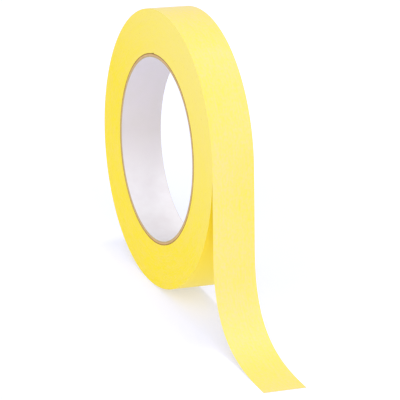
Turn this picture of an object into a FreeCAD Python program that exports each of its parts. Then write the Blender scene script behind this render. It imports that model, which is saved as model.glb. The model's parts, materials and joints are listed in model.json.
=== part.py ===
import FreeCAD, Part
import math
import os

# Masking tape roll with a free end of tape hanging from its rim.
# Millimetres, +Z up. The origin is the centre of the core's bore, and the roll's axis is +Y.
# The free end leaves the rim on the +X side, hangs down, and bends out to lie on the surface
# that the roll stands on. Angles in the XZ plane are measured from +X towards +Z, in degrees.

# Core: a paper tube, white liner inside, grey board plies, kraft ply outside
core_bore_radius = 38.1
liner_thickness = 0.20
board_ply_thickness = 0.30
board_ply_count = 4
outer_ply_thickness = 0.20

# Tape: a creped paper backing with a rubber adhesive on its inner face
tape_width = 18.0
backing_thickness = 0.085
adhesive_thickness = 0.030

# Roll: the outer turn's outer face at the line where the free end leaves the rim
roll_radius = 58.1
peel_angle = 10.0

# The tape's starting end on the core: the turns over it leave a small wedge of air beside it
start_angle = 101.0
start_step = 0.45
start_wedge_length = 2.0

# Free end: a chain of short flat lengths, hinged where the paper flexes.
# Each share is the part of the whole bend, from hanging to lying flat, that its fold takes.
bend_shares = (0.0, 0.0, 0.0, 0.13, 0.205, 0.255, 0.205, 0.13, 0.075)
stick_gap = 0.03
fold_gap = 0.08

tape_thickness = backing_thickness + adhesive_thickness
board_inner_radius = core_bore_radius + liner_thickness
board_outer_radius = board_inner_radius + board_ply_count * board_ply_thickness
core_outer_radius = board_outer_radius + outer_ply_thickness
outer_turn_inner_radius = roll_radius - tape_thickness


def direction(angle):
    """Unit vector in the XZ plane at an angle from +X towards +Z."""
    return FreeCAD.Vector(math.cos(math.radians(angle)), 0, math.sin(math.radians(angle)))


def extruded(face):
    """A flat face on the near side of the tape, pushed through the tape's width."""
    return face.extrude(FreeCAD.Vector(0, tape_width, 0))


def on_near_side(point):
    return FreeCAD.Vector(point.x, -tape_width / 2, point.z)


def ring(inner_radius, outer_radius):
    """A plain tube, as wide as the tape."""
    start = FreeCAD.Vector(0, -tape_width / 2, 0)
    axis = FreeCAD.Vector(0, 1, 0)
    tube = Part.makeCylinder(outer_radius, tape_width, start, axis)
    return tube.cut(Part.makeCylinder(inner_radius, tape_width, start, axis))


def arc(centre, radius, start_angle, end_angle):
    """An arc on the near side, through its start, middle and end."""
    angles = (start_angle, (start_angle + end_angle) / 2, end_angle)
    points = [on_near_side(centre + direction(angle) * radius) for angle in angles]
    return Part.Arc(*points).toShape()


def spiral_turn(start_radius):
    """One turn of a spiral that loses one tape thickness: two half circles on two centres."""
    centre = FreeCAD.Vector(0, 0, 0)
    shifted = direction(peel_angle) * (-tape_thickness / 2)
    first = arc(centre, start_radius, peel_angle, peel_angle + 180)
    second = arc(shifted, start_radius - tape_thickness / 2, peel_angle + 180, peel_angle + 360)
    return [first, second]


def radial_line(low_radius, high_radius):
    """A straight edge across the tape's thickness at the line where the free end leaves."""
    out = direction(peel_angle)
    return Part.makeLine(on_near_side(out * low_radius), on_near_side(out * high_radius))


def turn_layer(outer_radius, thickness):
    """One layer of the outer turn, a full spiral turn long."""
    inner_radius = outer_radius - thickness
    edges = spiral_turn(outer_radius) + spiral_turn(inner_radius)
    edges.append(radial_line(inner_radius, outer_radius))
    edges.append(radial_line(inner_radius - tape_thickness, outer_radius - tape_thickness))
    return extruded(Part.Face(Part.Wire(Part.__sortEdges__(edges))))


def start_wedge():
    """The air beside the tape's starting end: a triangle over the core's outer face."""
    root = direction(start_angle) * (core_outer_radius - start_step)
    top = direction(start_angle) * (core_outer_radius + start_step)
    far_angle = start_angle + math.degrees(start_wedge_length / core_outer_radius)
    foot = direction(far_angle) * core_outer_radius
    low_foot = direction(far_angle) * (core_outer_radius - start_step)
    outline = [on_near_side(point) for point in (root, top, foot, low_foot)]
    return extruded(Part.Face(Part.makePolygon(outline + outline[:1])))


def wound_tape():
    """All the turns under the outer one, with the step where the outer turn runs on into them."""
    edges = spiral_turn(outer_turn_inner_radius)
    edges.append(radial_line(outer_turn_inner_radius - tape_thickness, outer_turn_inner_radius))
    rim = Part.Wire(Part.__sortEdges__(edges))
    bore = Part.makeCylinder(
        core_outer_radius, tape_width, FreeCAD.Vector(0, -tape_width / 2, 0), FreeCAD.Vector(0, 1, 0)
    )
    return extruded(Part.Face(rim)).cut(bore).cut(start_wedge())


def floor_height():
    """The roll's lowest line, on the second half circle of its outer turn."""
    shifted = direction(peel_angle) * (-tape_thickness / 2)
    return shifted.z - (roll_radius - tape_thickness / 2)


def free_end_headings():
    """The direction of each flat length: down the rim's tangent first, along the floor last."""
    hanging = peel_angle - 90.0
    headings = [hanging]
    for share in bend_shares:
        headings.append(headings[-1] - hanging * share)
    return headings


def free_end_lengths():
    """The first length is half of the others, so that all can lie evenly on the rim.
    Their common length is what takes the free end from the rim down to the floor."""
    headings = free_end_headings()
    parts_of_length = [0.5] + [1.0] * len(bend_shares)
    fall = sum(-part * direction(angle).z for part, angle in zip(parts_of_length, headings))
    start_height = free_end_start().z
    length = (start_height - floor_height()) / fall
    return [length * part for part in parts_of_length]


def free_end_start():
    """Where the free end's adhesive face leaves the rim."""
    return direction(peel_angle) * (outer_turn_inner_radius + stick_gap)


def free_end_corners():
    """The line of the adhesive face, corner by corner, from the rim to the cut end."""
    corners = [free_end_start()]
    for length, angle in zip(free_end_lengths(), free_end_headings()):
        corners.append(corners[-1] + direction(angle) * length)
    return corners


def flat_length(start, end, low, high):
    """A flat plate between two corners, from low to high above the adhesive face."""
    along = (end - start).normalize()
    outward = FreeCAD.Vector(-along.z, 0, along.x)
    first = start + along * (fold_gap / 2)
    last = end - along * (fold_gap / 2)
    outline = [first + outward * low, last + outward * low, last + outward * high, first + outward * high]
    outline = [on_near_side(point) for point in outline]
    return extruded(Part.Face(Part.makePolygon(outline + outline[:1])))


def core_parts():
    parts = {"core_liner": ring(core_bore_radius, board_inner_radius)}
    for number in range(board_ply_count):
        inner = board_inner_radius + number * board_ply_thickness
        parts["core_board_ply_%d" % (number + 1)] = ring(inner, inner + board_ply_thickness)
    parts["core_outer_ply"] = ring(board_outer_radius, core_outer_radius)
    return parts


def roll_parts():
    return {
        "wound_tape": wound_tape(),
        "outer_turn_backing": turn_layer(roll_radius, backing_thickness),
        "outer_turn_adhesive": turn_layer(roll_radius - backing_thickness, adhesive_thickness),
    }


def free_end_parts():
    parts = {}
    corners = free_end_corners()
    for number, (start, end) in enumerate(zip(corners, corners[1:]), 1):
        name = "%02d" % number
        parts["tail_adhesive_" + name] = flat_length(start, end, 0, adhesive_thickness)
        parts["tail_backing_" + name] = flat_length(start, end, adhesive_thickness, tape_thickness)
    return parts


def main():
    os.makedirs("parts", exist_ok=True)
    parts = {**core_parts(), **roll_parts(), **free_end_parts()}
    for name, shape in sorted(parts.items()):
        shape.exportStep("parts/" + name + ".step")
        print("%-22s %s solids, %.2f mm3" % (name, len(shape.Solids), shape.Volume))


main()
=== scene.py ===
# %% [markdown]
# # A roll of masking tape with a free end
#
# Masking tape is one long strip of creped paper with a rubber adhesive on its inner face, wound
# on a paper core. This lesson builds the looks of one roll around a measured model: the core's
# plies, the wound turns, the outer turn, and a free end that hangs from the rim and bends out
# to lie on the table. The radii, the widths and the free end's path are read from the measured
# model. The notch where the tape starts isn't listed there, so its size is written again below.
# Colours, reliefs, lights and the camera are choices.

# %% Load the measured model
import json
import math

import bpy
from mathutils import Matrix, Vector


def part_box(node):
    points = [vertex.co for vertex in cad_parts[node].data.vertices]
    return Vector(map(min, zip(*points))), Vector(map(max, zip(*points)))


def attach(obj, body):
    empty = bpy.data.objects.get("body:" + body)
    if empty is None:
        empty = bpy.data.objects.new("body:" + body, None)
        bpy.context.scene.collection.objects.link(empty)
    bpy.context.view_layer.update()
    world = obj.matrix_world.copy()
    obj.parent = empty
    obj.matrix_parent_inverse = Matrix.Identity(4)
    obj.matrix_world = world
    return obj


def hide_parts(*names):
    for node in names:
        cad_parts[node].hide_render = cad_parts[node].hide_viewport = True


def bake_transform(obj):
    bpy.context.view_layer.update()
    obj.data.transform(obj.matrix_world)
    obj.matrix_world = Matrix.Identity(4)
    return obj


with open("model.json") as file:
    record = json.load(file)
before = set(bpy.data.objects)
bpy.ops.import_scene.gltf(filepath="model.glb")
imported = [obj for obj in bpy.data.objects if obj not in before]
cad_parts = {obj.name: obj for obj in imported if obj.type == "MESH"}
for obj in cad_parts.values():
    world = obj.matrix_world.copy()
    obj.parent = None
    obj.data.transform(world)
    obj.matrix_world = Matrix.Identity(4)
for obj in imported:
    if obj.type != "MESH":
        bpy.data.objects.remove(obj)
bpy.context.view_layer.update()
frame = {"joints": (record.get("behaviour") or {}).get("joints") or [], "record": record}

# %% [markdown]
# ## The sizes that everything follows
#
# The roll's axis is Y, its centre is the origin, and Z is up. The bore comes from the model's
# bore mount, the other radii from the boxes of its nodes. The free end is hinged in the model:
# the hinges lie on the line of its adhesive face, so they are the corners of its path.

# %% Read the sizes
MM = 0.001
joints = {joint["name"]: joint for joint in frame["joints"]}
mounts = {mount["name"]: mount for mount in frame["record"]["mounts"]}
bore_radius = mounts["core_bore"]["dims"]["r_mm"] * MM
tape_width = mounts["core_bore"]["dims"]["length_mm"] * MM
core_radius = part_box("core_outer_ply")[1].x
table_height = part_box("tail_adhesive_10")[0].z
adhesive_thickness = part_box("tail_adhesive_10")[1].z - table_height
tape_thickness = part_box("tail_backing_10")[1].z - table_height
backing_thickness = tape_thickness - adhesive_thickness

peel_point = Vector(joints["tail_peel"]["pos_m"])
peel_angle = math.atan2(peel_point.z, peel_point.x)
roll_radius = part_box("outer_turn_backing")[1].z
print("roll radius %.2f mm, tape %.3f mm thick" % (roll_radius / MM, tape_thickness / MM))


def direction(angle):
    """Unit vector in the XZ plane, from +X towards +Z."""
    return Vector((math.cos(angle), 0, math.sin(angle)))


# %% [markdown]
# ## Small helpers
#
# Colours are written as sRGB hex values, as a paint chart gives them, and one function turns
# them to the linear numbers that Blender's shaders use. One more function adds a node to any
# tree, sets its fields and fills its sockets with values or with links from other nodes.

# %% Colour and node helpers


def linear(hex_colour):
    """An sRGB hex colour as linear RGBA."""
    values = [int(hex_colour[i:i + 2], 16) / 255 for i in (1, 3, 5)]
    return [v / 12.92 if v <= 0.04045 else ((v + 0.055) / 1.055) ** 2.4 for v in values] + [1.0]


def add_node(tree, kind, sockets=(), **settings):
    """A new node. sockets maps an input's name or number to a value or to another node's output."""
    node = tree.nodes.new(kind)
    for name, value in settings.items():
        setattr(node, name, value)
    for key, value in dict(sockets).items():
        if isinstance(value, bpy.types.NodeSocket):
            tree.links.new(value, node.inputs[key])
        else:
            node.inputs[key].default_value = value
    return node


def math_node(tree, operation, first, second=0.0):
    """One step of arithmetic, as the output socket that holds its result."""
    return add_node(tree, "ShaderNodeMath", {0: first, 1: second}, operation=operation).outputs[0]


# %% [markdown]
# ## A tree that lays a layer of tape along a path
#
# The tape follows a path in the XZ plane: round the rim, off it at a tangent, and along the
# table. Geometry Nodes suit this well. The object holds only the path, as a line of vertices.
# The tree turns it into a curve, sweeps a flat rectangle along it and closes the ends. It also
# writes a UV map in metres, distance along the tape and place across it, so that the paper's
# pattern runs on from one piece to the next without a break. A slow noise lifts the paper a few
# hundredths of a millimetre, because real tape never lies perfectly flat.

# %% Tape strip tree
sharp_angle = math.radians(40)


def new_tree(name, inputs):
    """A geometry tree with a geometry input and output and the named inputs."""
    tree = bpy.data.node_groups.new(name, "GeometryNodeTree")
    tree.interface.new_socket("Geometry", in_out="INPUT", socket_type="NodeSocketGeometry")
    tree.interface.new_socket("Geometry", in_out="OUTPUT", socket_type="NodeSocketGeometry")
    for label, kind in inputs:
        tree.interface.new_socket(label, in_out="INPUT", socket_type="NodeSocket" + kind)
    return tree


def rectangle_outline(tree, width, height, columns, rows, shift):
    """The closed outline of a rectangle: the border of a grid, moved along its own Y."""
    grid = add_node(tree, "GeometryNodeMeshGrid",
                    {"Size X": width, "Size Y": height, "Vertices X": columns, "Vertices Y": rows})
    neighbours = add_node(tree, "GeometryNodeInputMeshEdgeNeighbors")
    border = add_node(tree, "FunctionNodeCompare", {2: neighbours.outputs[0], 3: 1},
                      data_type="INT", operation="EQUAL")
    outline = add_node(tree, "GeometryNodeMeshToCurve",
                       {"Mesh": grid.outputs["Mesh"], "Selection": border.outputs[0]})
    offset = add_node(tree, "ShaderNodeCombineXYZ", {"Y": shift})
    moved = add_node(tree, "GeometryNodeTransform",
                     {"Geometry": outline.outputs[0], "Translation": offset.outputs[0]})
    return moved.outputs[0]


def finish_tree(tree, geometry, group_input):
    """Smooth shading up to sharp edges, then real geometry and one material, as an export needs."""
    smooth = add_node(tree, "GeometryNodeSetShadeSmooth", {"Geometry": geometry}, domain="FACE")
    angle = add_node(tree, "GeometryNodeInputMeshEdgeAngle")
    gentle = math_node(tree, "LESS_THAN", angle.outputs["Unsigned Angle"], sharp_angle)
    edges = add_node(tree, "GeometryNodeSetShadeSmooth",
                     {"Geometry": smooth.outputs[0], "Shade Smooth": gentle}, domain="EDGE")
    real = add_node(tree, "GeometryNodeRealizeInstances", {"Geometry": edges.outputs[0]})
    painted = add_node(tree, "GeometryNodeSetMaterial",
                       {"Geometry": real.outputs[0], "Material": group_input.outputs["Material"]})
    add_node(tree, "NodeGroupOutput", {0: painted.outputs[0]})


def tape_strip_tree():
    """Sweeps one layer of tape along the object's line of vertices."""
    ripple_size = 9 * MM
    flat_until, loose_from = 2 * MM, 22 * MM
    tree = new_tree("Tape strip", [
        ("Width", "Float"), ("Thickness", "Float"), ("Height", "Float"), ("Columns", "Int"),
        ("Start", "Float"), ("Ripple", "Float"), ("Seed", "Float"), ("Material", "Material")])
    given = add_node(tree, "NodeGroupInput").outputs
    path = add_node(tree, "GeometryNodeMeshToCurve", {"Mesh": given["Geometry"]})
    level = add_node(tree, "GeometryNodeSetCurveNormal",
                     {"Curve": path.outputs[0], "Normal": (0, 1, 0)}, mode="FREE")
    run = add_node(tree, "GeometryNodeSplineParameter")
    along = math_node(tree, "ADD", run.outputs["Length"], given["Start"])
    tangent = add_node(tree, "GeometryNodeInputTangent")
    outward = add_node(tree, "ShaderNodeVectorMath", {0: tangent.outputs[0], 1: (0, 1, 0)},
                       operation="CROSS_PRODUCT")
    kept = add_node(tree, "GeometryNodeCaptureAttribute", {"Geometry": level.outputs[0]},
                    domain="POINT")
    kept.capture_items.new("FLOAT", "Along")
    kept.capture_items.new("VECTOR", "Outward")
    tree.links.new(along, kept.inputs["Along"])
    tree.links.new(outward.outputs[0], kept.inputs["Outward"])
    outline = rectangle_outline(tree, given["Width"], given["Thickness"], given["Columns"],
                                rows=2, shift=given["Height"])
    swept = add_node(tree, "GeometryNodeCurveToMesh",
                     {"Curve": kept.outputs["Geometry"], "Profile Curve": outline, "Fill Caps": True})
    place = add_node(tree, "GeometryNodeInputPosition")
    across = add_node(tree, "ShaderNodeSeparateXYZ", {0: place.outputs[0]}).outputs["Y"]
    tape_uv = add_node(tree, "ShaderNodeCombineXYZ", {"X": kept.outputs["Along"], "Y": across})
    mapped = add_node(tree, "GeometryNodeStoreNamedAttribute",
                      {"Geometry": swept.outputs[0], "Name": "tape", "Value": tape_uv.outputs[0]},
                      data_type="FLOAT2", domain="CORNER")
    noise = add_node(tree, "ShaderNodeTexNoise",
                     {"Vector": tape_uv.outputs[0], "W": given["Seed"], "Scale": 1 / ripple_size,
                      "Detail": 1.5}, noise_dimensions="4D")
    lift = math_node(tree, "MULTIPLY", noise.outputs[0], given["Ripple"])
    loose = add_node(tree, "ShaderNodeMapRange",
                     {"Value": kept.outputs["Along"], "From Min": flat_until, "From Max": loose_from},
                     interpolation_type="SMOOTHSTEP")
    lift = math_node(tree, "MULTIPLY", lift, loose.outputs[0])
    move = add_node(tree, "ShaderNodeVectorMath",
                    {0: kept.outputs["Outward"], "Scale": lift}, operation="SCALE")
    rippled = add_node(tree, "GeometryNodeSetPosition",
                       {"Geometry": mapped.outputs[0], "Offset": move.outputs[0]})
    finish_tree(tree, rippled.outputs[0], tree.nodes["Group Input"])
    return tree


strip_tree = tape_strip_tree()
print("made the tree:", strip_tree.name, "with", len(strip_tree.nodes), "nodes")

# %% [markdown]
# ## A tree for rings of paper
#
# The core's plies and the wound turns are all rings. The same sweep makes them, this time round
# a circle. The side faces of a real roll are the slit edges of about 160 turns, and each turn
# stands a few hundredths of a millimetre proud of its neighbours or behind them. A noise that
# depends only on the radius gives most of that relief, and a slow one the rest. The outermost
# radius loses one tape thickness in each turn, so the ring's rim is a spiral with a step where
# the outer turn begins.

# %% Paper ring tree


def paper_ring_tree():
    """A closed ring of rectangular section about the Y axis, with uneven side faces."""
    columns_across = 5
    slow_size, slow_share = 14 * MM, 0.6
    middle_noise = 1.1
    side_begins = 0.499
    tree = new_tree("Paper ring", [
        ("Inner Radius", "Float"), ("Outer Radius", "Float"), ("Width", "Float"),
        ("Segments", "Int"), ("Rows", "Int"), ("Relief", "Float"), ("Relief Pitch", "Float"),
        ("Spiral Step", "Float"), ("Step Angle", "Float"), ("Seed", "Float"), ("Material", "Material")])
    given = add_node(tree, "NodeGroupInput").outputs
    circle = add_node(tree, "GeometryNodeCurvePrimitiveCircle",
                      {"Resolution": given["Segments"], "Radius": given["Outer Radius"]})
    turned = add_node(tree, "GeometryNodeTransform",
                      {"Geometry": circle.outputs[0], "Rotation": (math.pi / 2, 0, 0)})
    level = add_node(tree, "GeometryNodeSetCurveNormal",
                     {"Curve": turned.outputs[0], "Normal": (0, 1, 0)}, mode="FREE")
    wall = math_node(tree, "SUBTRACT", given["Outer Radius"], given["Inner Radius"])
    outline = rectangle_outline(tree, given["Width"], wall, columns_across, given["Rows"],
                                math_node(tree, "MULTIPLY", wall, 0.5))
    swept = add_node(tree, "GeometryNodeCurveToMesh",
                     {"Curve": level.outputs[0], "Profile Curve": outline})

    place = add_node(tree, "GeometryNodeInputPosition")
    axes = add_node(tree, "ShaderNodeSeparateXYZ", {0: place.outputs[0]}).outputs
    flat = add_node(tree, "ShaderNodeCombineXYZ", {"X": axes["X"], "Z": axes["Z"]})
    radius = add_node(tree, "ShaderNodeVectorMath", {0: flat.outputs[0]},
                      operation="LENGTH").outputs["Value"]
    angle = math_node(tree, "ARCTAN2", axes["Z"], axes["X"])

    since_step = math_node(tree, "SUBTRACT", angle, given["Step Angle"])
    turn_share = math_node(tree, "FRACT", math_node(tree, "DIVIDE", since_step, 2 * math.pi))
    depth = math_node(tree, "DIVIDE", math_node(tree, "SUBTRACT", radius, given["Inner Radius"]), wall)
    loss = math_node(tree, "MULTIPLY", turn_share, given["Spiral Step"])
    loss = math_node(tree, "MULTIPLY", loss, depth)
    shrink = math_node(tree, "DIVIDE", math_node(tree, "SUBTRACT", radius, loss), radius)
    spiral = add_node(tree, "ShaderNodeVectorMath", {0: flat.outputs[0], "Scale": shrink},
                      operation="SCALE")

    ring_place = math_node(tree, "DIVIDE", radius, given["Relief Pitch"])
    side = math_node(tree, "SIGN", axes["Y"])
    side_seed = math_node(tree, "ADD", given["Seed"], side)
    turn_noise = add_node(tree, "ShaderNodeTexNoise",
                          {"W": math_node(tree, "ADD", ring_place, side_seed), "Scale": 1.0,
                           "Detail": 2.0}, noise_dimensions="1D")
    slow_noise = add_node(tree, "ShaderNodeTexNoise",
                          {"Vector": place.outputs[0], "W": given["Seed"], "Scale": 1 / slow_size,
                           "Detail": 1.0}, noise_dimensions="4D")
    relief = math_node(tree, "ADD", turn_noise.outputs[0],
                       math_node(tree, "MULTIPLY", slow_noise.outputs[0], slow_share))
    relief = math_node(tree, "SUBTRACT", relief, middle_noise)
    relief = math_node(tree, "MULTIPLY", relief, given["Relief"])
    height = math_node(tree, "ADD", axes["Y"], math_node(tree, "MULTIPLY", relief, side))
    on_side = math_node(tree, "GREATER_THAN", math_node(tree, "ABSOLUTE", axes["Y"]),
                        math_node(tree, "MULTIPLY", given["Width"], side_begins))
    new_y = add_node(tree, "ShaderNodeMix",
                     {0: on_side, 2: axes["Y"], 3: height}, data_type="FLOAT").outputs[0]
    spiral_axes = add_node(tree, "ShaderNodeSeparateXYZ", {0: spiral.outputs[0]}).outputs
    target = add_node(tree, "ShaderNodeCombineXYZ",
                      {"X": spiral_axes["X"], "Y": new_y, "Z": spiral_axes["Z"]})
    shaped = add_node(tree, "GeometryNodeSetPosition",
                      {"Geometry": swept.outputs[0], "Position": target.outputs[0]})
    finish_tree(tree, shaped.outputs[0], tree.nodes["Group Input"])
    return tree


ring_tree = paper_ring_tree()
print("made the tree:", ring_tree.name, "with", len(ring_tree.nodes), "nodes")

# %% [markdown]
# ## From a tree to a plain mesh
#
# A modifier holds the tree while its inputs are set. The evaluated result is then copied to a
# plain mesh and the modifier goes, because a piece must be final before it is tied to a body
# of the measured model. A closed mesh has a positive volume when its faces point outwards,
# which is an easy test that the sweep did not come out inside out.

# %% Make a piece from a tree


def signed_volume(mesh):
    """Volume from the faces' own directions: negative when the mesh is inside out."""
    mesh.calc_loop_triangles()
    points = [vertex.co for vertex in mesh.vertices]
    total = 0.0
    for triangle in mesh.loop_triangles:
        a, b, c = (points[i] for i in triangle.vertices)
        total += a.dot(b.cross(c)) / 6
    return total


def piece_from_tree(name, tree, inputs, path=()):
    """An object with the tree's result as its own mesh. path is the line that a strip follows."""
    mesh = bpy.data.meshes.new(name)
    mesh.from_pydata(list(path), [(i, i + 1) for i in range(len(path) - 1)], [])
    piece = bpy.data.objects.new(name, mesh)
    bpy.context.scene.collection.objects.link(piece)
    modifier = piece.modifiers.new("shape", "NODES")
    modifier.node_group = tree
    identifiers = {item.name: item.identifier for item in tree.interface.items_tree
                   if item.in_out == "INPUT"}
    for label, value in inputs.items():
        modifier[identifiers[label]] = value
    evaluated = piece.evaluated_get(bpy.context.evaluated_depsgraph_get())
    result = bpy.data.meshes.new_from_object(evaluated)
    piece.modifiers.clear()
    piece.data = result
    result.name = name
    bpy.data.meshes.remove(mesh)
    if signed_volume(result) < 0:
        result.flip_normals()
    return piece


# %% [markdown]
# ## Creped paper: the tape's backing
#
# Masking tape's backing is kraft paper, creped so that it stretches round curves and soaked
# with latex, here in a clear yellow. Under a soft light the eye sees fibre streaks along the
# tape, cloudy patches about a centimetre wide where the latex sank in more, and a slow drift
# from warm to pale over several centimetres. The last millimetre beside each slit edge is a
# little deeper in colour. The part of the rim behind the free end is painted a deeper yellow
# still, as painted shade: it stands for the shade between the rim and the hanging tape. Real
# crepe ridges are about 0.25 mm apart, too fine to show from where the camera stands, so they
# are drawn at 0.6 mm.

# %% Tape backing material


def noise_on(tree, vector, detail, roughness=0.55):
    """A noise whose cells are one unit of the given vector."""
    noise = add_node(tree, "ShaderNodeTexNoise",
                     {"Vector": vector, "Scale": 1.0, "Detail": detail, "Roughness": roughness})
    return noise.outputs[0]


def stretched(tree, vector, along, across):
    """The vector scaled so that one unit is along metres by across metres."""
    mapping = add_node(tree, "ShaderNodeMapping",
                       {"Vector": vector, "Scale": (1 / along, 1 / across, 1 / across)})
    return mapping.outputs[0]


def ramp(tree, value, low, high):
    """The value from low to high, spread over 0 to 1."""
    spread = add_node(tree, "ShaderNodeMapRange", {"Value": value, "From Min": low, "From Max": high})
    return spread.outputs[0]


def mixed(tree, factor, first, second):
    """A colour between two, each a hex value or another node's output."""
    colours = [linear(c) if isinstance(c, str) else c for c in (first, second)]
    node = add_node(tree, "ShaderNodeMix", {0: factor, 6: colours[0], 7: colours[1]}, data_type="RGBA")
    return node.outputs[2]


def new_material(name, **surface):
    """A material with one Principled shader, whose even values are set on its own sockets."""
    material = bpy.data.materials.new(name)
    material.use_nodes = True
    tree = material.node_tree
    shader = tree.nodes["Principled BSDF"]
    for label, value in surface.items():
        shader.inputs[label.replace("_", " ")].default_value = value
    return material, tree, shader


def add_bump(tree, shader, height, distance, strength):
    """Fine relief in the shading, distance metres high."""
    bump = add_node(tree, "ShaderNodeBump",
                    {"Height": height, "Distance": distance, "Strength": strength})
    tree.links.new(bump.outputs[0], shader.inputs["Normal"])


def creped_paper_material():
    """The tape's paper. Its cells are placed by the tape's UV map, along and across."""
    material, tree, shader = new_material("creped_paper_latex_yellow", Roughness=0.55, IOR=1.5,
                                           Sheen_Weight=0.2, Sheen_Roughness=0.5)
    tape = add_node(tree, "ShaderNodeUVMap", uv_map="tape").outputs[0]
    fibre_length, fibre_width = 6 * MM, 0.7 * MM
    fleck_length, fleck_width = 1.3 * MM, 1.0 * MM
    cloud_length, cloud_width = 14 * MM, 9 * MM
    drift_length, drift_width = 38 * MM, 70 * MM
    crepe_pitch, crepe_length = 0.6 * MM, 3.5 * MM
    crepe_height = 0.05 * MM
    ridge_share, streak_relief_share = 0.7, 0.3
    streak_share, fleck_share = 0.45, 0.55
    drift_share, broad_share = 0.6, 0.5
    edge_band, edge_share = 1.2 * MM, 0.25
    rim_shade_begins, rim_shade_full = -235 * MM, -275 * MM
    streaks = noise_on(tree, stretched(tree, tape, fibre_length, fibre_width), detail=3.0)
    flecks = noise_on(tree, stretched(tree, tape, fleck_length, fleck_width), detail=2.0)
    clouds = noise_on(tree, stretched(tree, tape, cloud_length, cloud_width), detail=2.0)
    crepe = noise_on(tree, stretched(tree, tape, crepe_pitch, crepe_length), detail=2.0)
    fibre = math_node(tree, "ADD", math_node(tree, "MULTIPLY", streaks, streak_share),
                      math_node(tree, "MULTIPLY", flecks, fleck_share))
    fibre = ramp(tree, fibre, low=0.38, high=0.62)
    paper = mixed(tree, fibre, "#fdea46", "#fde2a0")
    drift = noise_on(tree, stretched(tree, tape, drift_length, drift_width), detail=1.0)
    cloudy = mixed(tree, ramp(tree, clouds, low=0.3, high=0.7), "#fde654", "#fde87a")
    drifted = mixed(tree, ramp(tree, drift, low=0.35, high=0.65), "#fde848", "#fde6a2")
    broad = mixed(tree, drift_share, cloudy, drifted)
    blended = mixed(tree, broad_share, paper, broad)
    tape_axes = add_node(tree, "ShaderNodeSeparateXYZ", {0: tape}).outputs
    to_edge = math_node(tree, "ABSOLUTE", tape_axes["Y"])
    edged = ramp(tree, to_edge, tape_width / 2 - edge_band, tape_width / 2)
    edged = mixed(tree, math_node(tree, "MULTIPLY", edged, edge_share), blended, "#fdee44")
    # Painted shade: 235 mm to 275 mm back from where the free end leaves, the outer turn turns a
    # deeper, saturated yellow, for the shade between the rim and the hanging tape.
    painted_rim_shade = ramp(tree, tape_axes["X"], rim_shade_begins, rim_shade_full)
    tree.links.new(mixed(tree, painted_rim_shade, edged, "#ffe408"), shader.inputs["Base Color"])
    relief = math_node(tree, "ADD", math_node(tree, "MULTIPLY", crepe, ridge_share),
                       math_node(tree, "MULTIPLY", streaks, streak_relief_share))
    add_bump(tree, shader, relief, crepe_height, strength=0.35)
    return material


creped_paper = creped_paper_material()
print("made the finish:", creped_paper.name)

# %% [markdown]
# ## Slit edges: the side of the roll
#
# A roll is slit to width with round knives, so its side is the cut edges of every turn, packed
# tight. It is a deeper yellow than the paper's face, because light sinks in between the layers.
# What shows is a mottle drawn out along the turns, and faint rings where the winding tension
# changed. One turn is 0.115 mm, too fine to show, so the drawn rings stand for bundles of
# turns. Small darker nicks are where the knife dragged. The side is painted paler towards the
# top and towards the free end: a painted highlight for the light from above.

# %% Roll side material


def ring_vector(tree, along, across):
    """Distance along the turns and out from the axis, in cells of along by across metres.

    The two sides are far apart in these cells, so that they don't show the same pattern.
    """
    side_shift = 7.0
    place = add_node(tree, "ShaderNodeTexCoord").outputs["Object"]
    axes = add_node(tree, "ShaderNodeSeparateXYZ", {0: place}).outputs
    flat = add_node(tree, "ShaderNodeCombineXYZ", {"X": axes["X"], "Y": axes["Z"]})
    radius = add_node(tree, "ShaderNodeVectorMath", {0: flat.outputs[0]},
                      operation="LENGTH").outputs["Value"]
    outwards = add_node(tree, "ShaderNodeVectorMath", {0: flat.outputs[0]}, operation="NORMALIZE")
    round_scale = core_radius / along
    spread = add_node(tree, "ShaderNodeVectorMath", {0: outwards.outputs[0], "Scale": round_scale},
                      operation="SCALE")
    parts = add_node(tree, "ShaderNodeSeparateXYZ", {0: spread.outputs[0]}).outputs
    side = math_node(tree, "MULTIPLY", math_node(tree, "SIGN", axes["Y"]), side_shift)
    ring = math_node(tree, "ADD", math_node(tree, "DIVIDE", radius, across), side)
    cells = add_node(tree, "ShaderNodeCombineXYZ", {"X": parts["X"], "Y": parts["Y"], "Z": ring})
    return cells.outputs[0]


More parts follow.
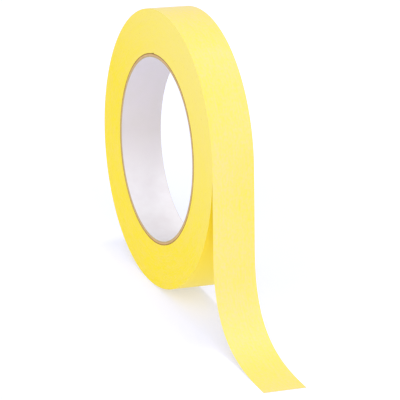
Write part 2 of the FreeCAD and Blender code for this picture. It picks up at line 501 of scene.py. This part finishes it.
def slit_edges_material():
    """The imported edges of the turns. Lengths run along the turns, depths out from the axis."""
    material, tree, shader = new_material("slit_tape_edges_yellow", Roughness=0.8, IOR=1.45,
                                           Specular_IOR_Level=0.25)
    mottle_length, mottle_depth = 1.6 * MM, 0.5 * MM
    ring_length, ring_depth = 60 * MM, 0.45 * MM
    patch_length, patch_depth = 9 * MM, 3.5 * MM
    nick_length, nick_depth, nick_share = 1.1 * MM, 0.35 * MM, 0.35
    painted_light_toward = (0.5, 0, 0.86)
    painted_light_begins, painted_light_ends, painted_light_share = -10 * MM, 65 * MM, 0.5
    edge_relief, ring_relief_share, mottle_relief_share = 0.06 * MM, 0.7, 0.3
    ring_share, patch_share = 0.3, 0.35
    mottle = noise_on(tree, ring_vector(tree, mottle_length, mottle_depth), detail=3.0)
    rings = noise_on(tree, ring_vector(tree, ring_length, ring_depth), detail=2.0)
    patches = noise_on(tree, ring_vector(tree, patch_length, patch_depth), detail=2.0)
    fine = mixed(tree, ramp(tree, mottle, low=0.38, high=0.62), "#ffe818", "#ffe66c")
    ringed = mixed(tree, ramp(tree, rings, low=0.35, high=0.65), "#ffe41c", "#ffea52")
    broad = mixed(tree, ramp(tree, patches, low=0.38, high=0.62), "#ffe720", "#ffe358")
    turns_colour = mixed(tree, ring_share, fine, ringed)
    colour = mixed(tree, patch_share, turns_colour, broad)
    place = add_node(tree, "ShaderNodeTexCoord").outputs["Object"]
    # Painted highlight: the side turns paler towards the top and towards +X, where the light comes
    # from.
    towards_light = add_node(tree, "ShaderNodeVectorMath", {0: place, 1: painted_light_toward},
                             operation="DOT_PRODUCT").outputs["Value"]
    painted_light = ramp(tree, towards_light, painted_light_begins, painted_light_ends)
    painted_light = math_node(tree, "MULTIPLY", painted_light, painted_light_share)
    colour = mixed(tree, painted_light, colour, "#fff2a2")
    nicks = noise_on(tree, ring_vector(tree, nick_length, nick_depth), detail=1.0)
    nicked = math_node(tree, "MULTIPLY", ramp(tree, nicks, low=0.68, high=0.76), nick_share)
    tree.links.new(mixed(tree, nicked, colour, "#d9b93a"), shader.inputs["Base Color"])
    relief = math_node(tree, "ADD", math_node(tree, "MULTIPLY", rings, ring_relief_share),
                       math_node(tree, "MULTIPLY", mottle, mottle_relief_share))
    add_bump(tree, shader, relief, edge_relief, strength=0.3)
    return material


slit_edges = slit_edges_material()
print("made the finish:", slit_edges.name)

# %% [markdown]
# ## Adhesive, liner, board and kraft
#
# The adhesive is a natural rubber film, a pale straw colour with a soft wet sheen. The core's
# liner is white bleached paper, smooth and matte, painted greyer above and whiter below: painted
# shade for the top of the bore, which faces down.
# Its own cut edge is tan, because dust from the board sticks to it. The board plies are
# recycled board whose cut edges show short fibres, and each has its own brown. The outer ply
# is unbleached kraft, browner, and painted darker than kraft: painted shade for the seam
# between the core and the tape.

# %% Adhesive and core materials


def rubber_adhesive_material():
    """The tape's sticky side: a film with faint coating streaks along the tape."""
    material, tree, shader = new_material("natural_rubber_adhesive_film", Roughness=0.38, IOR=1.52)
    tape = add_node(tree, "ShaderNodeUVMap", uv_map="tape").outputs[0]
    streak_length, streak_width = 6 * MM, 0.9 * MM
    speck_size, speck_share = 0.8 * MM, 0.3
    film_relief = 0.03 * MM
    coating = noise_on(tree, stretched(tree, tape, streak_length, streak_width), detail=2.0)
    specks = noise_on(tree, stretched(tree, tape, speck_size, speck_size), detail=2.0)
    film = mixed(tree, ramp(tree, coating, low=0.35, high=0.65), "#f6dc58", "#f9e66e")
    speckled = mixed(tree, math_node(tree, "MULTIPLY", specks, speck_share), film, "#eccb4a")
    tree.links.new(speckled, shader.inputs["Base Color"])
    add_bump(tree, shader, coating, film_relief, strength=0.3)
    return material


def liner_material():
    """The core's white lining, with a tan cut edge on both sides."""
    material, tree, shader = new_material("bleached_liner_paper", Roughness=0.75, IOR=1.45)
    place = add_node(tree, "ShaderNodeTexCoord").outputs["Object"]
    cloud_size, cloud_share = 7 * MM, 0.3
    fibre_length, fibre_depth, fibre_relief = 2.2 * MM, 0.3 * MM, 0.03 * MM
    painted_shade_top, painted_light_bottom = -5 * MM, -30 * MM
    edge_depth = 0.12 * MM
    formation = noise_on(tree, stretched(tree, place, cloud_size, cloud_size), detail=2.0)
    fibres = noise_on(tree, ring_vector(tree, fibre_length, fibre_depth), detail=3.0)
    axes = add_node(tree, "ShaderNodeSeparateXYZ", {0: place}).outputs
    # Painted shade: the liner is greyer from 5 mm below the axis upwards and turns whiter down to 30 mm
    # below it.
    painted_light_below = ramp(tree, axes["Z"], painted_shade_top, painted_light_bottom)
    paper = mixed(tree, painted_light_below, "#dcd5d0", "#f8f5f8")
    cloudy = math_node(tree, "MULTIPLY", ramp(tree, formation, low=0.3, high=0.7), cloud_share)
    colour = mixed(tree, cloudy, paper, "#e2d8dc")
    on_edge = math_node(tree, "GREATER_THAN", math_node(tree, "ABSOLUTE", axes["Y"]),
                        tape_width / 2 - edge_depth)
    colour = mixed(tree, on_edge, colour, "#c4b78f")
    tree.links.new(colour, shader.inputs["Base Color"])
    add_bump(tree, shader, fibres, fibre_relief, strength=0.25)
    return material


def board_material(name, dark, light):
    """Paper board seen on its cut edge: fibres laid round the core, a little fuzzy."""
    material, tree, shader = new_material(name, Roughness=0.85, IOR=1.45)
    fibre_length, fibre_depth, fibre_share = 1.2 * MM, 0.12 * MM, 0.6
    clump_length, clump_depth, clump_share = 3.0 * MM, 0.8 * MM, 0.4
    fuzz_height = 0.05 * MM
    fibres = noise_on(tree, ring_vector(tree, fibre_length, fibre_depth), detail=3.0, roughness=0.65)
    clumps = noise_on(tree, ring_vector(tree, clump_length, clump_depth), detail=2.0)
    shade = math_node(tree, "ADD", math_node(tree, "MULTIPLY", fibres, fibre_share),
                      math_node(tree, "MULTIPLY", clumps, clump_share))
    colour = mixed(tree, ramp(tree, shade, low=0.36, high=0.64), dark, light)
    tree.links.new(colour, shader.inputs["Base Color"])
    add_bump(tree, shader, fibres, fuzz_height, strength=0.5)
    return material


adhesive_film = rubber_adhesive_material()
liner_paper = liner_material()
board_ply_finishes = [
    board_material("board_ply_1_edge", "#b59d62", "#cfb67c"),
    board_material("board_ply_2_edge", "#c79c6a", "#e2b88c"),
    board_material("board_ply_3_edge", "#c9aa6c", "#e2c48e"),
    board_material("board_ply_4_edge", "#b3853e", "#cf9f5e"),
]
# Partly painted shade: kraft's own brown, made darker for the shade in the seam between the core and
# the tape.
kraft_and_seam_shade = board_material("kraft_ply_edge_seam_shade", "#5c370e", "#8c5c20")
core_finishes = [liner_paper] + board_ply_finishes + [kraft_and_seam_shade]
print("made the finishes:", [finish.name for finish in [adhesive_film] + core_finishes])

# %% [markdown]
# ## The core
#
# Six rings of paper, one inside the other: the white liner, four plies of board and the kraft
# ply that the tape starts on. Each stands for its own ply in the measured model. Their cut
# edges are a few hundredths of a millimetre uneven, so the lines between them show in the light.

# %% Build the core
ring_segments = 288
ply_rows, ply_relief, ply_relief_pitch = 3, 0.05 * MM, 0.1 * MM


def cut_away(piece, cutter):
    """The piece without the cutter's space, as a plain mesh, with its sharp edges marked again."""
    bpy.context.scene.collection.objects.link(cutter)
    modifier = piece.modifiers.new("cut", "BOOLEAN")
    modifier.object = cutter
    evaluated = piece.evaluated_get(bpy.context.evaluated_depsgraph_get())
    result = bpy.data.meshes.new_from_object(evaluated)
    piece.modifiers.clear()
    piece.data = result
    result.set_sharp_from_angle(angle=sharp_angle)
    bpy.data.objects.remove(cutter)


def paper_ring(name, node, inner, outer, finish, rows, relief, pitch, seed, step=0.0, cut=None):
    """A ring that stands for a node of the measured model, riding on the roll."""
    piece = piece_from_tree(name, ring_tree, {
        "Inner Radius": inner, "Outer Radius": outer, "Width": tape_width, "Segments": ring_segments,
        "Rows": rows, "Relief": relief, "Relief Pitch": pitch, "Spiral Step": step,
        "Step Angle": peel_angle, "Seed": seed, "Material": finish})
    if cut:
        cut_away(piece, cut)
    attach(piece, "roll")
    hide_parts(node)
    return piece


core_rings = ["core_liner"] + ["core_board_ply_%d" % n for n in (1, 2, 3, 4)] + ["core_outer_ply"]
core_slots = ["core_liner"] + ["core_board"] * 4 + ["core_kraft"]
inner = bore_radius
for number, (node, finish, slot) in enumerate(zip(core_rings, core_finishes, core_slots)):
    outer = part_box(node)[1].x
    paper_ring(node + "_paper", node, inner, outer, finish, rows=ply_rows,
               relief=ply_relief, pitch=ply_relief_pitch, seed=3.0 * number)
    print(node, "wall %.2f mm" % ((outer - inner) / MM))
    inner = outer

# %% [markdown]
# ## The wound turns
#
# All the turns under the outer one are one ring with many rows across its side, so that the
# relief of the turns is in the mesh and not only in the shading. The tape's first edge is a
# step on the core. The turns above it bridge that step and leave a thin wedge of air, which
# shows as a small dark notch at the core's rim, so the same wedge is cut out of the ring.

# %% Build the wound turns
start_angle = math.radians(101)
start_step = 0.45 * MM
start_wedge_length = 2.0 * MM
turn_rows, turn_relief, turn_relief_pitch = 120, 0.07 * MM, 0.5 * MM


def start_gap_wedge():
    """The air beside the tape's first edge: a thin wedge along the whole width of the roll."""
    far_angle = start_angle + start_wedge_length / core_radius
    outline = [direction(start_angle) * (core_radius - start_step),
               direction(start_angle) * (core_radius + start_step),
               direction(far_angle) * core_radius,
               direction(far_angle) * (core_radius - start_step)]
    sides = [Vector((point.x, y, point.z)) for y in (-tape_width, tape_width) for point in outline]
    mesh = bpy.data.meshes.new("start_gap")
    mesh.from_pydata(sides, [], [(3, 2, 1, 0), (4, 5, 6, 7)]
                     + [(i, (i + 1) % 4, 4 + (i + 1) % 4, 4 + i) for i in range(4)])
    if signed_volume(mesh) < 0:
        mesh.flip_normals()
    return bpy.data.objects.new("start_gap", mesh)


turns = paper_ring("wound_tape_turns", "wound_tape", core_radius, roll_radius - tape_thickness,
                   slit_edges, rows=turn_rows, relief=turn_relief,
                   pitch=turn_relief_pitch, seed=11.0, step=tape_thickness, cut=start_gap_wedge())
print("wound turns:", len(turns.data.polygons), "faces")

# %% [markdown]
# ## The tape's path
#
# From the rim the tape leaves at a tangent. The measured model's hinges give the corners of a
# chain of flat lengths. A sheet of paper has no corners, so the path goes from the middle of
# one length to the middle of the next on an arc, which touches both, and the whole path is
# smooth. The first lengths hang straight, so their cuts are spread evenly instead. Each arc is
# one piece, because a piece can bend across one hinge only.

# %% Find the corners and arcs
fold_names = ["tail_lay_down"] + ["tail_fold_%02d" % n for n in range(2, 10)]
rim_start = peel_point - direction(peel_angle) * tape_thickness
cut_end = Vector((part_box("tail_adhesive_10")[1].x, 0, table_height))
corners = [rim_start] + [Vector(joints[name]["pos_m"]) for name in fold_names] + [cut_end]
middles = [(a + b) / 2 for a, b in zip(corners, corners[1:])]
straight_hinges = 3
first_cut_share = 0.47
first_cut = corners[0].lerp(corners[1], first_cut_share)
even_cuts = [first_cut.lerp(middles[straight_hinges], i / straight_hinges)
             for i in range(straight_hinges + 1)]
cuts = even_cuts + middles[straight_hinges + 1:]
nearly_straight = 1e-4


def arc_points(start, corner, end, steps):
    """Points on the arc that touches the line start-corner at start and corner-end at end."""
    into, out = (corner - start).normalized(), (end - corner).normalized()
    turn = into.angle(out)
    if turn < nearly_straight:
        return [start.lerp(end, i / steps) for i in range(steps + 1)]
    radius = (corner - start).length / math.tan(turn / 2)
    left = Vector((-into.z, 0, into.x))
    bend = 1.0 if left.dot(out) > 0 else -1.0
    centre = start + left * radius * bend
    points = []
    for i in range(steps + 1):
        a = turn * i / steps
        points.append(centre + into * radius * math.sin(a) - left * radius * bend * math.cos(a))
    return points


def path_length(points):
    """The length of the line through the points."""
    return sum((b - a).length for a, b in zip(points, points[1:]))


turns_at_corners = [(b - a).angle(c - b) for a, b, c in zip(corners, corners[1:], corners[2:])]
print("free end: %d lengths, corners turn" % len(middles),
      [round(math.degrees(turn), 1) for turn in turns_at_corners])

# %% [markdown]
# ## The outer turn
#
# The last full turn lies on the roll as a spiral that gains one tape thickness by the time it
# reaches the place where the free end leaves. It has two layers, as all of the tape has: the
# adhesive inside and the paper outside.

# %% Build the outer turn
turn_steps = 360
turn_columns = 13
ripple_seed = 5.0


def tape_layers(name, path, start, columns, ripple):
    """The paper and the adhesive of one stretch of tape, two pieces along one path."""
    shared = {"Width": tape_width, "Columns": columns, "Start": start, "Ripple": ripple,
              "Seed": ripple_seed}
    glue = piece_from_tree(name + "_adhesive", strip_tree, {
        **shared, "Thickness": adhesive_thickness, "Height": adhesive_thickness / 2,
        "Material": adhesive_film}, path)
    paper = piece_from_tree(name + "_paper", strip_tree, {
        **shared, "Thickness": backing_thickness, "Height": adhesive_thickness + backing_thickness / 2,
        "Material": creped_paper}, path)
    return paper, glue


lead_on = 9 * MM
lead_angle = lead_on / roll_radius


def rim_point(turned):
    """The adhesive face's line on the outer turn, turned radians before the free end leaves."""
    radius = roll_radius - tape_thickness * (1 + turned / (2 * math.pi))
    return direction(peel_angle + turned) * radius


turn_path = [rim_point(lead_angle + (2 * math.pi - lead_angle) * i / turn_steps)
             for i in range(turn_steps, -1, -1)]
turn_start = -path_length(turn_path) - lead_on
outer_paper, outer_glue = tape_layers("outer_turn", turn_path, turn_start, turn_columns, ripple=0.0)
for piece, node, slot in ((outer_paper, "outer_turn_backing", "tape_backing"),
                          (outer_glue, "outer_turn_adhesive", "tape_adhesive")):
    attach(piece, "roll")
    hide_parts(node)
print("outer turn: %.0f mm of tape" % (path_length(turn_path) / MM))

# %% [markdown]
# ## The free end
#
# Ten short pieces, each paper and adhesive. The first begins on the rim and bends where the
# tape peels. Every other one goes from near the middle of one hinged length to near the middle
# of the next.

# %% Build the free end


def bend_between(piece, node):
    """Bakes the strip's placement into its mesh and hides the model node that it stands for."""
    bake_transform(piece)
    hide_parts(node)


tail_bodies = ["tail_%02d" % n for n in range(1, len(middles) + 1)]
ripple_height = 0.12 * MM
free_end_columns = 25
lead_steps, peel_steps, arc_steps, end_steps = 24, 14, 24, 12
lead_path = [rim_point(lead_angle * (1 - i / lead_steps)) for i in range(lead_steps)]
peel_path = [corners[0].lerp(cuts[0], i / peel_steps) for i in range(peel_steps + 1)]
paths = [lead_path + peel_path]
for number in range(1, len(tail_bodies)):
    paths.append(arc_points(cuts[number - 1], corners[number], cuts[number], arc_steps))
paths[-1] += [cuts[-1].lerp(cut_end, (i + 1) / end_steps) for i in range(end_steps)]

distance = -lead_on
for number, path in enumerate(paths):
    name = "free_end_%02d" % (number + 1)
    paper, glue = tape_layers(name, path, distance, free_end_columns, ripple_height)
    for piece, layer in ((paper, "backing"), (glue, "adhesive")):
        bend_between(piece,
                     "tail_%s_%02d" % (layer, number + 1))
    distance += path_length(path)
print("free end: %.1f mm of tape beyond the rim" % (distance / MM))

# %% [markdown]
# ## Table, light and camera
#
# The table is a light table, a large opal sheet that glows a little from below, so shadows on
# it stay pale. It is no part of the object. A white sky lights everything evenly. Two distant
# banks of soft light add to it: one overhead, which gives the soft shadow under the roll and
# the free end, and a wider one in front, which brightens the side that faces it. The camera
# stands to the right and above, with a long lens.

# %% Table
table_half_size = 6.0
table_gap = 0.02 * MM
table_glow = 0.5


def staging_plane(name, half_size, height):
    """A level square of staging, which is no part of the object."""
    mesh = bpy.data.meshes.new(name)
    square = [(-half_size, -half_size, height), (half_size, -half_size, height),
              (half_size, half_size, height), (-half_size, half_size, height)]
    mesh.from_pydata(square, [], [(0, 1, 2, 3)])
    plane = bpy.data.objects.new(name, mesh)
    bpy.context.scene.collection.objects.link(plane)
    return plane


table = staging_plane("table_top", table_half_size, table_height - table_gap)
table_paint, _, _ = new_material("opal_acrylic_light_table", Base_Color=linear("#d4d2dc"),
                                 Roughness=0.9, Emission_Color=linear("#d0dcff"),
                                 Emission_Strength=table_glow)
table.data.materials.append(table_paint)
print("table top at %.2f mm" % ((table_height - table_gap) / MM))

# %% Light
sky_strength = 0.6
world = bpy.data.worlds.new("white_studio")
bpy.context.scene.world = world
world.use_nodes = True
sky = world.node_tree.nodes["Background"]
sky.inputs["Color"].default_value = linear("#ffffff")
sky.inputs["Strength"].default_value = sky_strength


def light_bank(name, toward, spread, share):
    """A distant bank of soft light. share is what it adds to a white surface that faces it."""
    light = bpy.data.lights.new(name, "SUN")
    light.angle = math.radians(spread)
    light.energy = share * math.pi
    lamp = bpy.data.objects.new(name, light)
    bpy.context.scene.collection.objects.link(lamp)
    lamp.rotation_euler = Vector(toward).to_track_quat("Z", "Y").to_euler()
    return lamp


overhead = light_bank("overhead_bank", toward=(-0.22, 0.09, 1), spread=14, share=0.24)
front = light_bank("front_bank", toward=(0.75, -0.5, 0.72), spread=60, share=0.38)
print("lights:", overhead.name, front.name)

# %% Camera
view_azimuth, view_elevation, view_roll = math.radians(65.61), math.radians(20.61), math.radians(3.51)
view_distance = 1.0739
sensor_width = 36.0
lens_length = 233.95
camera_reach = 50
aim_right, aim_up = 11.25 * MM, -20.99 * MM

back = Vector((math.sin(view_azimuth) * math.cos(view_elevation),
               -math.cos(view_azimuth) * math.cos(view_elevation), math.sin(view_elevation)))
right = Vector((math.cos(view_azimuth), math.sin(view_azimuth), 0))
up = back.cross(right)
camera_data = bpy.data.cameras.new("view_camera")
camera_data.lens = lens_length
camera_data.sensor_width = sensor_width
camera_data.clip_end = camera_reach
camera = bpy.data.objects.new("view_camera", camera_data)
bpy.context.scene.collection.objects.link(camera)
camera.location = back * view_distance + right * aim_right + up * aim_up
camera.rotation_euler = (-back).to_track_quat("-Z", "Y").to_euler()
camera.rotation_euler.rotate_axis("Z", view_roll)
bpy.context.scene.camera = camera
bpy.context.scene.view_settings.view_transform = "Standard"
print("camera at", [round(x, 3) for x in camera.location])
